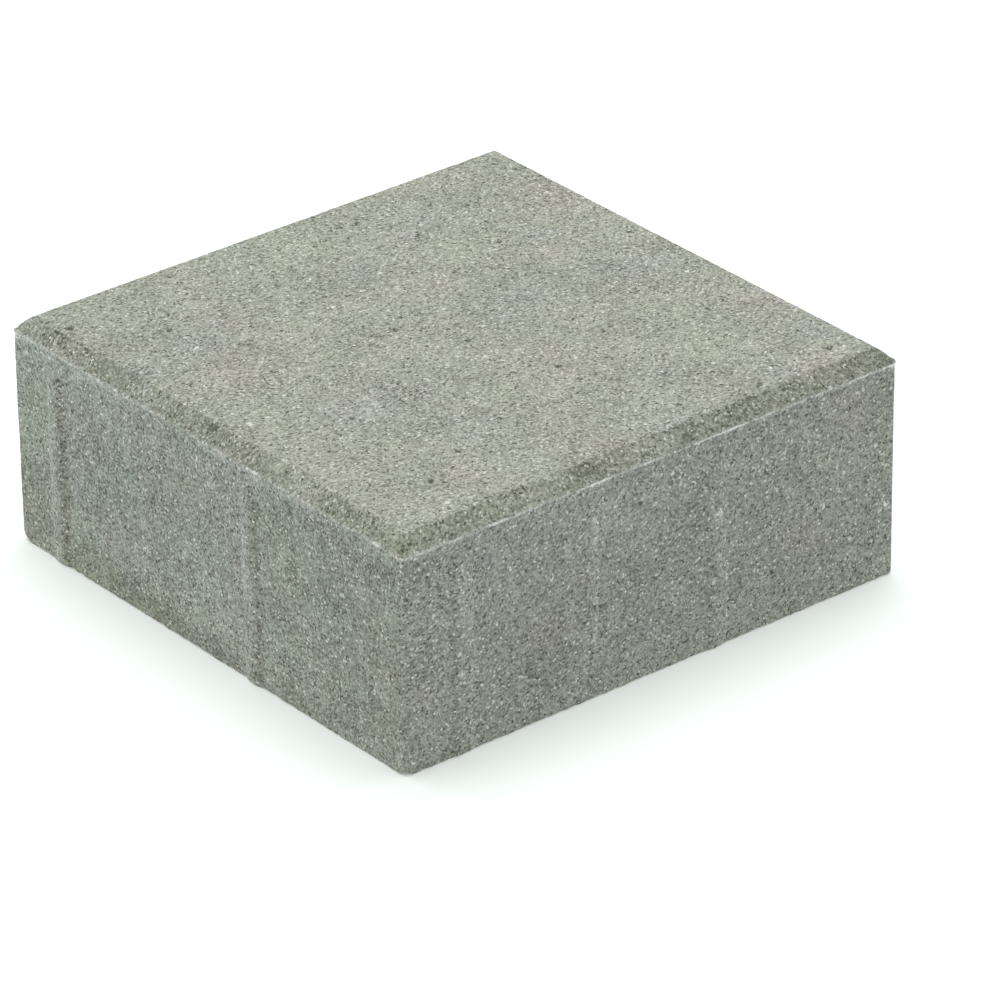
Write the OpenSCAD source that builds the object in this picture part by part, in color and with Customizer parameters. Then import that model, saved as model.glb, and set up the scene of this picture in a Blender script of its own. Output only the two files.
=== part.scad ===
// Concrete paving stone for a 200 mm laying grid.
// One cast piece: a square block with a bevel round its wear face and two upright
// spacer ribs on each side. The ribs of a side sit off its middle, so that the ribs
// of two stones laid side by side miss each other and both keep the joint open.
// Millimetres, +Z up. The origin is the middle of the bed face.

/* [Block] */
// Side of the square block, without its ribs
block_side = 197; // [150:1:300]
// Height from the bed face to the wear face
block_height = 80; // [60:1:120]
// Radius of the four upright corners
corner_radius = 2; // [0.5:0.5:6]

/* [Bevel] */
// Width of the bevel round the wear face, seen from above
bevel_width = 5; // [2:0.5:12]
// Drop of the bevel below the wear face
bevel_drop = 5; // [2:0.5:12]

/* [Spacer ribs] */
// How far a rib stands out from its side
rib_proud = 1.5; // [0.5:0.25:4]
// Width of a rib where it meets the side
rib_root_width = 9; // [6:0.5:16]
// Width of a rib's flat crest
rib_crest_width = 2.5; // [1:0.5:5]
// Distance from the block's corner to the middle of a side's first rib
rib_from_corner = 22.5; // [10:0.5:40]
// Distance between the middles of a side's two ribs
rib_spacing = 100; // [20:1:150]
// Distance from the bevel's lower edge down to the top of a rib
rib_below_bevel = 7.5; // [1:0.5:20]
// Height over which a rib's upper end slopes back into the side
rib_end_slope = 3; // [1:0.5:8]

/* [Hidden] */
$fn = 48;
SIDES = 4;
half_side = block_side / 2;
bevel_bottom = block_height - bevel_drop;
rib_top = bevel_bottom - rib_below_bevel;
// Where the two ribs stand along a side, from its middle
first_rib = rib_from_corner - half_side;
rib_places = [first_rib, first_rib + rib_spacing];
// How far a rib is rooted in the block, so that the two are one solid
rib_depth = 2;

// Outline of the block seen from above: a square with round corners
module block_outline() {
    inner = block_side - 2 * corner_radius;
    square([block_side, inner], center = true);
    square([inner, block_side], center = true);
    for (x = [-1, 1], y = [-1, 1])
        translate([x * inner / 2, y * inner / 2])
            circle(r = corner_radius);
}

// A bar as long as the block is wide, with the bevel along both of its top edges
module bevelled_bar() {
    rotate([90, 0, 0])
        linear_extrude(height = block_side, center = true)
            polygon([
                [-half_side, 0],
                [half_side, 0],
                [half_side, bevel_bottom],
                [half_side - bevel_width, block_height],
                [bevel_width - half_side, block_height],
                [-half_side, bevel_bottom]
            ]);
}

// The block: its upright outline, cut by the bevels of both directions
module block() {
    intersection() {
        linear_extrude(height = block_height)
            block_outline();
        bevelled_bar();
        rotate([0, 0, 90])
            bevelled_bar();
    }
}

// One rib, standing out along -Y from the plane y = 0
module spacer_rib() {
    intersection() {
        // Its section, a low trapezium
        linear_extrude(height = rib_top)
            polygon([
                [-rib_root_width / 2, rib_depth],
                [-rib_root_width / 2, 0],
                [-rib_crest_width / 2, -rib_proud],
                [rib_crest_width / 2, -rib_proud],
                [rib_root_width / 2, 0],
                [rib_root_width / 2, rib_depth]
            ]);
        // Its side view, with the sloping upper end
        rotate([90, 0, 90])
            linear_extrude(height = rib_root_width, center = true)
                polygon([
                    [rib_depth, 0],
                    [-rib_proud, 0],
                    [-rib_proud, rib_top - rib_end_slope],
                    [0, rib_top],
                    [rib_depth, rib_top]
                ]);
    }
}

// The two ribs of each side, the same all the way round
module spacer_ribs() {
    for (turn = [0 : SIDES - 1], place = rib_places)
        rotate([0, 0, turn * 360 / SIDES])
            translate([place, -half_side, 0])
                spacer_rib();
}

module paving_stone() {
    color([0.60, 0.61, 0.57]) {
        union() {
            block();
            spacer_ribs();
        }
    }
}

paving_stone();
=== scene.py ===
"""Concrete paving stone: the finished look of one pressed concrete stone.

The stone is one closed surface. Its wear face and its bed are grids, and its bevel and sides are a
profile carried once round the block, with the spacer ribs raised from it. Pores, chips and the rough
grain of the cast concrete are worked out as heights over that surface. Lengths are in metres.
"""

import logging
import math
from dataclasses import dataclass, fields, replace
from enum import Enum

import bpy
import numpy as np
from mathutils import Matrix, Vector


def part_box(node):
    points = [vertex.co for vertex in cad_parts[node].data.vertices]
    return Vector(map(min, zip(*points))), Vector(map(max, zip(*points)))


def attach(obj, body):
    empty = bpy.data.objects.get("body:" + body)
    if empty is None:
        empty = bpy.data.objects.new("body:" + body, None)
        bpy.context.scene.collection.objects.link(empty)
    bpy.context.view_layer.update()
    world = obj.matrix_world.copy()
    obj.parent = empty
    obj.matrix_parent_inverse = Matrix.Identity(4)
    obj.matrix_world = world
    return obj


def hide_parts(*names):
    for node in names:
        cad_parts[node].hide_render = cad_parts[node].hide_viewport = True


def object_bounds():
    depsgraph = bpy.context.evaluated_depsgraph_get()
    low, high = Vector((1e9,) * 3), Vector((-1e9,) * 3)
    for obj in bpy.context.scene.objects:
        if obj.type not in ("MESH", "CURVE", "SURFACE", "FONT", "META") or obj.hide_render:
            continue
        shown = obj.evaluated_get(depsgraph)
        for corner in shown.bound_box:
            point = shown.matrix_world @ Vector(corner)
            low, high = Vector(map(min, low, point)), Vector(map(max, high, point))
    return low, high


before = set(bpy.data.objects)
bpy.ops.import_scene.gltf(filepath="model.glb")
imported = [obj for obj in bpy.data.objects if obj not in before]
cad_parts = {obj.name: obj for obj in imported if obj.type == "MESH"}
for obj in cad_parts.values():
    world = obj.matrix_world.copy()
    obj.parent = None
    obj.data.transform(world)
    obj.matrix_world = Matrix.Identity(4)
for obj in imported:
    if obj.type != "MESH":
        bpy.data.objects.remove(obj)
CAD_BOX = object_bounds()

Array = np.ndarray
Socket = bpy.types.NodeSocket
Colour = tuple[float, float, float]

MM = 0.001
NODE = "paving_stone"
BODY = "root"

log = logging.getLogger("paving_stone")


LEVEL_FLAT = 0.8
LEVEL_STEEP = 0.45
LEVEL_BLEND = 0.15


class Side(Enum):
    """The block's four sides, in order round it, seen from above and turning left."""

    FRONT = 0
    RIGHT = 1
    BACK = 2
    LEFT = 3

    def outward(self) -> Array:
        """The side's outward direction in plan."""
        turn = self.value * math.pi / 2
        return np.array([math.sin(turn), -math.cos(turn)]).round()

    def along(self) -> Array:
        """The direction in plan that runs along the side, to the right as seen from outside."""
        turn = self.value * math.pi / 2
        return np.array([math.cos(turn), math.sin(turn)]).round()


def bell(distance: Array, width: float) -> Array:
    """A bell curve: e to the power of minus the square of the distance over the width."""
    return np.exp(-((distance / width) ** 2))


def by_side(values: tuple[float, ...], side: Array) -> Array:
    """Each place's value by the number of its side, and 0 where that is -1, off the sides."""
    return np.array([*values, 0.0])[side]


# ---------------------------------------------------------------- noise


@dataclass(frozen=True)
class LatticeNoise:
    """Repeatable noise in space, from numbers hashed at the corners of a cubic lattice."""

    seed: int

    def hashed(self, corner: Array, salt: int) -> Array:
        """Gives each lattice corner a number of its own.

        The three whole coordinates are multiplied by large odd numbers and mixed with the seed, and
        the bits are then folded over each other.

        Args:
            corner: whole coordinates, one corner a row.
            salt: picks one of many independent numbers at each corner.

        Returns:
            A number from 0 to 1 for each row.
        """
        c = corner.astype(np.int64).astype(np.uint64)
        h = c[..., 0] * np.uint64(0x9E3779B1) ^ c[..., 1] * np.uint64(0x85EBCA77)
        h ^= c[..., 2] * np.uint64(0xC2B2AE3D) ^ np.uint64(self.seed * 7919 + salt * 104729)
        for shift in (15, 13, 16):
            h = (h ^ (h >> np.uint64(shift))) * np.uint64(0x2C1B3C6D)
            h &= np.uint64(0xFFFFFFFF)
        return (h ^ (h >> np.uint64(16))).astype(float) / 2.0**32

    def smooth(self, points: Array, size: float, salt: int = 0) -> Array:
        """Gradient noise: rolling hills about one lattice step across.

        Each corner of the cell round a point has a random slope. The heights that the eight slopes
        give at the point are blended with an S-shaped weight.

        Args:
            points: places, one a row.
            size: the lattice step.
            salt: picks another pattern of the same seed.

        Returns:
            About -1 to 1 for each row.
        """
        scaled = points / size
        cell = np.floor(scaled)
        inside = scaled - cell
        ease = inside**3 * (inside * (inside * 6 - 15) + 10)
        total = np.zeros(len(points))
        for corner in np.ndindex(2, 2, 2):
            step = np.array(corner)
            slope = np.stack([self.hashed(cell + step, salt * 3 + a) * 2 - 1 for a in range(3)], -1)
            weight = np.prod(np.where(step, ease, 1 - ease), axis=-1)
            total += weight * np.sum(slope * (inside - step), axis=-1)
        return total * 1.6

    def rough(self, points: Array, size: float, octaves: int = 3, salt: int = 0) -> Array:
        """Sums smooth noise at halving sizes, each half as high as the one before.

        Args:
            points: places, one a row.
            size: the lattice step of the largest hills.
            octaves: how many sizes are summed.
            salt: picks another pattern of the same seed.

        Returns:
            About -1 to 1 for each row.
        """
        total = np.zeros(len(points))
        for i in range(octaves):
            total += self.smooth(points, size / 2**i, salt + 17 * i) / 2**i
        return total / 1.4

    def pits(self, points: Array, size: float, share: float, salt: int = 0) -> Array:
        """Scattered round pits, some cells of the lattice holding one each.

        A pit's middle lies at a random place in its cell and its radius is a random part of the
        cell. Its depth falls off as one less the square of the distance over the radius.

        Args:
            points: places, one a row.
            size: the lattice step.
            share: the part of the cells that hold a pit.
            salt: picks another pattern of the same seed.

        Returns:
            0 outside the pits, up to 1 at the middle of the largest.
        """
        scaled = points / size
        cell = np.floor(scaled)
        deepest = np.zeros(len(points))
        for near in np.ndindex(3, 3, 3):
            home = cell + np.array(near) - 1
            spot = np.stack([self.hashed(home, salt + 31 + a) for a in range(3)], -1)
            kept = self.hashed(home, salt + 37) < share
            radius = 0.16 + 0.34 * self.hashed(home, salt + 41) ** 2
            gap = np.sum((scaled - home - spot) ** 2, axis=-1) / radius**2
            deepest = np.maximum(deepest, np.where(kept, (1 - gap).clip(0) * radius / 0.5, 0))
        return deepest


# ---------------------------------------------------------------- shape


@dataclass(frozen=True)
class SpacerRib:
    """The low upright ribs that keep two laid stones apart."""

    proud: float = 1.5 * MM
    root_width: float = 9 * MM
    crest_width: float = 2.5 * MM
    top: float = 67.5 * MM
    end_slope: float = 3 * MM
    root_blur: float = 0.3 * MM
    places: tuple[float, float] = (-76 * MM, 24 * MM)
    foot_height: float = 16 * MM
    foot_wear: float = 0.35
    wear_size: float = 7 * MM
    side_wear: tuple[float, ...] = (0.5, 0.15, 0.15, 0.22)
    # Per side, how strong the painted shade and painted highlight on the ribs' flanks are.
    flank_shading: tuple[float, ...] = (0.45, 0.8, 1.0, 1.0)
    # Per side, the flank given a painted highlight (1 right, -1 left); the other gets painted shade.
    lit_flank: tuple[float, ...] = (1.0, 1.0, -1.0, -1.0)

    def left_after_wear(self, side: Array, height: Array, roughness: Array) -> Array:
        """What is left of the ribs' height where they are rubbed.

        Each side has its own wear, most at the foot, from where it fades upwards, and the
        roughness makes it uneven.

        Args:
            side: number of the side at each place, or -1 off the sides.
            height: height above the bed.
            roughness: noise from -1 to 1.

        Returns:
            The share that is left, 1 for a whole rib.
        """
        worn = by_side(self.side_wear, side)
        worn = worn + self.foot_wear * (1 - height / self.foot_height).clip(0, 1)
        return 1 - worn * (0.75 + 0.7 * roughness).clip(0, 1.2)

    def flank(self, along: Array, height: Array) -> Array:
        """Where the ribs' sloping flanks lie.

        Args:
            along: place along the side from its middle, to the right as seen from outside.
            height: height above the bed.

        Returns:
            From -1 at a rib's left root, evenly up to 1 at its right root, and 0 beside the ribs.
        """
        off = along[None, :] - np.array(self.places)[:, None]
        nearest = np.take_along_axis(off, np.abs(off).argmin(axis=0)[None, :], axis=0)[0]
        half = self.root_width / 2
        within = ((half + self.root_blur - np.abs(nearest)) / (2 * self.root_blur)).clip(0, 1)
        return nearest / half * within * ((self.top - height) / self.end_slope).clip(0, 1)

    def shape(self, along: Array, height: Array) -> Array:
        """How far the ribs rise, as a share of their full height.

        Across a rib the share climbs steeply from the root's edge and rounds off to the crest's
        edge: half of it grows evenly, half along a parabola. Towards its upper end it falls evenly
        to nothing.

        Args:
            along: place along the side from its middle, to the right as seen from outside.
            height: height above the bed.

        Returns:
            0 beside the ribs to 1 on their crests.
        """
        flank = (self.root_width - self.crest_width) / 2
        off = np.min([np.abs(along - p) for p in self.places], axis=0)
        across = ((self.root_width / 2 - off) / flank).clip(0, 1)
        rounded = across * (2 - across)
        end = ((self.top - height) / self.end_slope).clip(0, 1)
        return (0.5 * across + 0.5 * rounded) * end


@dataclass(frozen=True)
class BlockSizes:
    """The block's own sizes."""

    half_side: float
    height: float
    corner_radius: float = 2 * MM
    bevel_width: float = 5 * MM
    bevel_drop: float = 5 * MM
    edge_softness: float = 1.0 * MM
    step: float = 1.15 * MM
    patch_inset: float = 7 * MM
    bed_inset: float = 5.2 * MM
    shoulder_insets: tuple[float, float] = (4.2 * MM, 3.5 * MM)
    shoulder_rings: int = 6
    wall_rings: int = 58
    lip_drops: tuple[float, ...] = (0.3, 0.6, 0.9, 1.2, 1.6, 2.1, 2.8)
    toe_heights: tuple[float, ...] = (1.9, 1.3, 0.8, 0.4)
    bed_rings: tuple[tuple[float, float], ...] = ((0.15, 0.12), (0.45, 0), (1.2, 0), (2.4, 0), (4.0, 0))
    rib_fade: tuple[float, float] = (0.5 * MM, 4 * MM)

    @property
    def bevel_foot(self) -> float:
        """Height of the bevel's lower edge."""
        return self.height - self.bevel_drop

    def bevel_height(self, inset: Array) -> Array:
        """Height of the upper surface at a distance in from the side's plane.

        It is the smooth lesser of the flat wear face and the bevel's slope: the plain lesser of the
        two, lowered near their meeting line by a quarter of the square of what is left of the
        softness there.

        Args:
            inset: distance in from the side's plane.

        Returns:
            Height above the bed.
        """
        slope = self.bevel_foot + inset * self.bevel_drop / self.bevel_width
        left = (self.edge_softness - np.abs(self.height - slope)).clip(0)
        return np.minimum(self.height, slope) - left**2 / (4 * self.edge_softness)

    def profile(self) -> Array:
        """The profile that is carried round the block, from the wear face down to the bed.

        Its rings stand closer together where the surface bends.

        Returns:
            One row for each ring: inset from the side's plane, height, and corner radius.
        """
        inner_end, outer_start = self.shoulder_insets
        shoulder = np.concatenate([
            np.linspace(self.patch_inset, inner_end, self.shoulder_rings),
            np.linspace(outer_start, 0, self.shoulder_rings),
        ])
        top = np.stack([shoulder, self.bevel_height(shoulder)], -1)
        lip = self.bevel_foot - np.array(self.lip_drops) * MM
        toe = np.array(self.toe_heights) * MM
        wall = np.linspace(lip[-1] - self.step, toe[0], self.wall_rings)
        heights = np.concatenate([lip, wall, toe[1:]])
        side = np.stack([np.zeros(len(heights)), heights], -1)
        rows = np.concatenate([top, side, np.array(self.bed_rings) * MM])
        inner = 1 - rows[:, 0] / self.patch_inset
        return np.column_stack([rows, self.corner_radius * inner])


@dataclass(frozen=True)
class Chip:
    """A corner broken off along a rough slanting plane."""

    corner: tuple[int, int]
    level: float
    reach: tuple[float, float, float]
    roughness: float = 0.45 * MM
    crumb: float = 3.5 * MM

    def cut(self, points: Array, sizes: BlockSizes, noise: LatticeNoise) -> Array:
        """Pushes what lies beyond the break back onto it.

        The break passes through three points, one on each edge that meets in the corner, at the
        reach from it. A point beyond moves along the break's normal by its distance, which a little
        noise makes rough.

        Args:
            points: the surface's places.
            sizes: the block's sizes.
            noise: makes the break rough.

        Returns:
            The places after the break.
        """
        tip = np.array([self.corner[0] * sizes.half_side, self.corner[1] * sizes.half_side, self.level])
        up = 1 if self.level > sizes.height / 2 else -1
        normal = np.array([self.corner[0], self.corner[1], up]) / np.array(self.reach)
        depth = 1 / np.linalg.norm(normal)
        normal = normal * depth
        beyond = (points - tip) @ normal + depth
        beyond += self.roughness * noise.rough(points, self.crumb, 3, salt=211)
        return points - normal * beyond.clip(0)[:, None]


@dataclass(frozen=True)
class Pore:
    """One large open pore, or one pale grain with its cover for a depth, at a given place."""

    place: tuple[float, float, float]
    radius: float
    depth: float
    raggedness: float = 0.6
    ragged_size: float = 1.9 * MM

    def depth_at(self, points: Array, noise: LatticeNoise) -> Array:
        """The pore's depth over the surface.

        The distance from the pore's middle is stretched and shrunk by noise, so that its rim is
        ragged, and the depth falls off as a bell curve of that distance.

        Args:
            points: the surface's places.
            noise: makes the rim ragged.

        Returns:
            Depth at each place.
        """
        away = np.linalg.norm(points - np.array(self.place) * MM, axis=1)
        bent = away * (1 + self.raggedness * noise.smooth(points, self.ragged_size, salt=5))
        return self.depth * bell(bent, self.radius)


@dataclass(frozen=True)
class Stain:
    """A soft-edged patch of ground-in dirt, or of pale cement film."""

    place: tuple[float, float, float]
    reach: tuple[float, float, float]
    strength: float

    def share_at(self, points: Array) -> Array:
        """How strongly the patch shows: its strength times a bell curve along each axis.

        Args:
            points: the surface's places.

        Returns:
            0 to the strength at each place.
        """
        away = (points - np.array(self.place) * MM) / (np.array(self.reach) * MM)
        return self.strength * np.exp(-np.sum(away**2, axis=1))


@dataclass
class Surface:
    """A closed surface being worked out: its places, its faces and what is known at each place."""

    points: Array
    quads: Array
    triangles: Array
    normals: Array
    inset: Array
    along: Array
    side: Array
    outward: Array
    rib_hold: Array


@dataclass(frozen=True)
class StoneGrid:
    """The plain surface of the stone, before ribs, grain and damage."""

    sizes: BlockSizes
    rib: SpacerRib

    def shares(self) -> Array:
        """Where the columns stand along a side, as shares of its half length.

        The stops are the ends of the round corners and the edges of the ribs' roots and crests, on
        both halves of the side alike. Each stretch between two stops is split evenly, in three or
        more, and the middle stretch is topped up until the whole divides by three.

        Returns:
            Rising shares from -1 to 1.
        """
        half = self.sizes.half_side
        stops = [half - self.sizes.corner_radius, half]
        for place in self.rib.places:
            for reach in (self.rib.root_width / 2, self.rib.crest_width / 2):
                stops += [abs(place) - reach, abs(place) + reach]
        right = np.unique(np.round(stops, 6))
        stops = np.concatenate([-right[::-1], right])
        counts = np.maximum(3, np.ceil(np.diff(stops) / self.sizes.step - 0.01).astype(int))
        counts[len(counts) // 2] += -counts.sum() % 3
        parts = [np.linspace(a, b, n, endpoint=False) for a, b, n in zip(stops, stops[1:], counts)]
        return np.concatenate([*parts, [half]]) / half

    def ring(self, shares: Array, inset: float, radius: float) -> Array:
        """The block's outline at an inset, with round corners.

        Each point of the sharp square is split into the nearest point of the square that is smaller
        by the radius, and the rest. The rest is given the radius as its length, which leaves the
        straight sides alone and bends the corners into arcs.

        Args:
            shares: columns of one side.
            inset: distance in from the block's sides.
            radius: radius of the corners.

        Returns:
            Places in plan, once round from the front left corner.
        """
        half = self.sizes.half_side - inset
        sharp = np.concatenate([
            shares[:-1, None] * half * s.along() + half * s.outward() for s in Side
        ])
        if radius <= 0:
            return sharp
        core = sharp.clip(radius - half, half - radius)
        rest = sharp - core
        return core + rest * (radius / np.linalg.norm(rest, axis=1))[:, None]

    @staticmethod
    def rim(count: int) -> Array:
        """Numbers of a square grid's outer points, once round from its front left corner.

        Args:
            count: steps along one side of the grid.

        Returns:
            The points' numbers, where point (i, j) is i * (count + 1) + j.
        """
        run, still = np.arange(count), np.zeros(count, int)
        i = np.concatenate([run, still + count, count - run, still])
        j = np.concatenate([still, run, still + count, count - run])
        return i * (count + 1) + j

    @staticmethod
    def patch(count: int) -> Array:
        """Faces of a square grid, seen from above and turning left.

        Args:
            count: steps along one side of the grid.

        Returns:
            Four point numbers a face.
        """
        i, j = np.meshgrid(np.arange(count), np.arange(count), indexing="ij")
        a = (i * (count + 1) + j).ravel()
        return np.stack([a, a + count + 1, a + count + 2, a + 1], -1)

    def build(self) -> Surface:
        """Works out the plain surface.

        The wear face is a grid of all columns both ways. The rings of the profile hang from its
        rim. Under the bed, a last ring gathers every three columns into one, and a coarser grid
        closes the stone.

        Returns:
            The surface with its bookkeeping at each place.
        """
        sizes = self.sizes
        shares = self.shares()
        n = len(shares) - 1
        rows = sizes.profile()
        columns = 4 * n

        flat = shares * (sizes.half_side - sizes.patch_inset)
        x, y = np.meshgrid(flat, flat, indexing="ij")
        top = np.stack([x.ravel(), y.ravel(), np.full(x.size, sizes.height)], -1)
        rings = [
            np.column_stack([self.ring(shares, d, r), np.full(columns, z)]) for d, z, r in rows[1:]
        ]
        coarse = shares[::3] * (sizes.half_side - sizes.bed_inset)
        bx, by = np.meshgrid(coarse, coarse, indexing="ij")
        bed = np.stack([bx.ravel(), by.ravel(), np.zeros(bx.size)], -1)
        points = np.concatenate([top, *rings, bed])

        first = len(top)
        numbers = np.vstack([self.rim(n), first + np.arange(columns * len(rings)).reshape(-1, columns)])
        right = np.roll(numbers, -1, axis=1)
        band = np.stack([numbers[:-1], numbers[1:], right[1:], right[:-1]], -1).reshape(-1, 4)

        start = first + columns * len(rings)
        inner = start + self.rim(n // 3)
        inner_right = np.roll(inner, -1)
        outer, outer_right = numbers[-1].reshape(-1, 3), right[-1].reshape(-1, 3)
        gather = np.stack([outer[:, 1], inner, inner_right, outer[:, 2]], -1)
        left_tip = np.stack([outer[:, 0], inner, outer[:, 1]], -1)
        right_tip = np.stack([outer[:, 2], inner_right, outer_right[:, 2]], -1)

        quads = np.concatenate([self.patch(n), band, gather, start + self.patch(n // 3)[:, ::-1]])
        triangles = np.concatenate([left_tip, right_tip])

        count = len(points)
        along, side, hold = np.zeros(count), np.full(count, -1), np.zeros(count)
        outward = np.zeros((count, 2))
        fade_from, fade_over = sizes.rib_fade
        ring_side = np.repeat(np.arange(4), n)
        ring_out = np.array([s.outward() for s in Side])[ring_side]
        for row, (inset, height, _) in enumerate(rows):
            where = numbers[row]
            along[where] = np.tile(shares[:-1], 4) * (sizes.half_side - inset)
            if height < sizes.bevel_foot + sizes.bevel_drop / 50:
                side[where] = ring_side
                outward[where] = ring_out
                hold[where] = 1 - max(0, inset - fade_from) / fade_over
        hold = hold.clip(0, 1)
        inset = sizes.half_side - np.abs(points[:, :2]).max(axis=1)
        normals = vertex_normals(points, quads, triangles)
        return Surface(points, quads, triangles, normals, inset, along, side, outward, hold)


def vertex_normals(points: Array, quads: Array, triangles: Array) -> Array:
    """Outward direction at each point: the sum of its faces' area vectors, at length one.

    A face's area vector is half the cross product of its diagonals, or of two edges of a triangle.

    Args:
        points: places.
        quads: faces with four corners.
        triangles: faces with three corners.

    Returns:
        One direction a point.
    """
    total = np.zeros_like(points)
    for faces in (quads, triangles):
        p = points[faces]
        last = p[:, 3] if faces.shape[1] == 4 else p[:, 0]
        first = p[:, 2] - p[:, 0] if faces.shape[1] == 4 else p[:, 1] - p[:, 0]
        second = last - p[:, 1] if faces.shape[1] == 4 else p[:, 2] - p[:, 0]
        area = np.cross(first, second)
        for corner in range(faces.shape[1]):
            for axis in range(3):
                total[:, axis] += np.bincount(faces[:, corner], area[:, axis], len(points))
    return total / np.linalg.norm(total, axis=1)[:, None]


@dataclass(frozen=True)
class Relief:
    """How rough each part of the cast surface is.

    Sizes, widths and steps run over the surface, and the rest are heights.
    """

    noise: LatticeNoise
    broad_size: float = 28 * MM
    medium_size: float = 9 * MM
    grain_size: float = 2.8 * MM
    tight_size: float = 1.5 * MM
    drag_squeeze: float = 0.05

    face_dip: float = 0.12 * MM
    face_grain: float = 0.09 * MM
    side_swell: float = 0.10 * MM
    side_grain: float = 0.08 * MM
    drag: float = 0.06 * MM
    bevel_grain: float = 0.2 * MM
    bed_dip: float = 0.35 * MM

    rim_setback: float = 0.5 * MM
    rim_width: float = 1.1 * MM
    rim_wear: float = 0.10 * MM
    rim_crumble: float = 0.30 * MM

    lip: float = 0.34 * MM
    lip_drop: float = 0.25 * MM
    lip_width: float = 0.42 * MM
    lip_wave: float = 10 * MM
    lip_break: float = 3.4 * MM
    groove: float = 0.12 * MM
    groove_rise: float = 0.8 * MM
    groove_width: float = 0.45 * MM

    toe_height: float = 1.2 * MM
    toe_inset: float = 2 * MM
    crumble: float = 0.55 * MM

    small_pit: float = 0.8 * MM
    small_step: float = 4.5 * MM
    small_share: float = 0.12
    wide_pit: float = 1.2 * MM
    wide_step: float = 11 * MM
    wide_share: float = 0.06
    dark_pit: float = 0.6 * MM

    # Painted shade in the groove above the lip: its inset from the side's plane, and its width.
    groove_shade_inset: float = 0.9 * MM
    groove_shade_width: float = 0.6 * MM


@dataclass(frozen=True)
class Zones:
    """How far each place belongs to each part of the stone, from 0 to 1."""

    top: Array
    bed: Array
    upright: Array
    bevel: Array
    upper: Array
    on_side: Array

    @classmethod
    def of(cls, s: Surface, sizes: BlockSizes) -> "Zones":
        """Sorts the places by how level the surface is there.

        A part's share rises evenly past its level: it is how far the normal's upward component lies
        beyond the level, over the blend. The bevel takes what is left over in the upper half.

        Args:
            s: the plain surface.
            sizes: the block's sizes.

        Returns:
            The shares, and which places lie above the bevel's foot and on a side.
        """
        level, z = s.normals[:, 2], s.points[:, 2]
        top = ((level - LEVEL_FLAT) / LEVEL_BLEND).clip(0, 1)
        bed = ((-level - LEVEL_FLAT) / LEVEL_BLEND).clip(0, 1)
        upright = ((LEVEL_STEEP - np.abs(level)) / LEVEL_BLEND).clip(0, 1)
        bevel = (1 - top - upright - bed).clip(0, 1) * (z > sizes.height / 2)
        return cls(top, bed, upright, bevel, z > sizes.bevel_foot, s.side >= 0)


@dataclass(frozen=True)
class Grain:
    """The noises that roughen the surface, from wide to fine, and how much lip there is."""

    broad: Array
    medium: Array
    fine: Array
    tight: Array
    drawn: Array
    lip: Array

    @classmethod
    def over(cls, points: Array, r: Relief) -> "Grain":
        """Works the noises out over the surface.

        The drawn noise is squeezed in height before it is taken, which draws it out into upright
        drags. The lip's strength waves slowly and breaks off in places.

        Args:
            points: the surface's places.
            r: the sizes of the noises.

        Returns:
            The noises, about -1 to 1, and the lip's strength, about 0 to 1.
        """
        noise = r.noise
        wave = noise.rough(points, r.lip_wave, 2, salt=8)
        breaks = noise.smooth(points, r.lip_break, salt=10)
        return cls(
            broad=noise.rough(points, r.broad_size, 2, salt=1),
            medium=noise.rough(points, r.medium_size, 2, salt=2),
            fine=noise.rough(points, r.grain_size, 2, salt=3),
            tight=noise.smooth(points, r.tight_size, salt=4),
            drawn=noise.rough(points * np.array([1, 1, r.drag_squeeze]), r.tight_size, 2, salt=6),
            lip=(0.78 + 0.8 * wave + 0.6 * breaks).clip(0.05, 1.4),
        )


@dataclass(frozen=True)
class Marks:
    """What the finish is told at each place of the surface, each from 0 to 1."""

    # Painted shade in the pores, full where a pore is deep.
    pore_shade: Array
    rim: Array
    lip: Array
    # Painted shade: on the ribs' shaded flanks and in the groove above the lip.
    flank_and_groove_shade: Array
    # Pale: real rubs, streaks and cement films, and the painted highlight on the ribs' lit flanks.
    wear: Array
    side: Array
    bevel: Array
    pale: Array
    dirt: Array
    # The front side: painted shade in its colour, and calmer patches and grain.
    front: Array


@dataclass(frozen=True)
class Streak:
    """A pale upright rub that the mould leaves on a side."""

    side: Side
    place: float
    low: float
    high: float
    strength: float
    width: float = 0.9 * MM
    fade: float = 8 * MM

    def share_at(self, s: Surface, noise: LatticeNoise) -> Array:
        """How strongly the rub shows.

        It is a bell curve across its place along the side. It fades in and out over its ends, and
        noise makes it patchy.

        Args:
            s: the plain surface.
            noise: makes the rub patchy.

        Returns:
            0 to the strength at each place.
        """
        z = s.points[:, 2]
        span = ((z - self.low) / self.fade).clip(0, 1) * ((self.high - z) / self.fade).clip(0, 1)
        patchy = (0.6 + noise.rough(s.points, self.fade, 2, salt=12)).clip(0, 1)
        there = (s.side == self.side.value) * bell(s.along - self.place, self.width)
        return there * span * patchy * self.strength


@dataclass(frozen=True)
class Smear:
    """Pale cement squeezed out along the lip: a narrow line, and a wide faint one below it."""

    narrow_width: float
    narrow_drop: float
    narrow_cover: float
    wide_width: float = 1.3 * MM
    wide_drop: float = 1.5 * MM
    wide_cover: float = 0.05

    def share_at(self, below: Array) -> Array:
        """How strongly the cement covers: the greater of two bell curves of height.

        Args:
            below: height above the bevel's foot, so less than nothing under it.

        Returns:
            0 to the greater cover at each place.
        """
        narrow = bell(below + self.narrow_drop, self.narrow_width) * self.narrow_cover
        wide = bell(below + self.wide_drop, self.wide_width) * self.wide_cover
        return np.maximum(narrow, wide)


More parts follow.
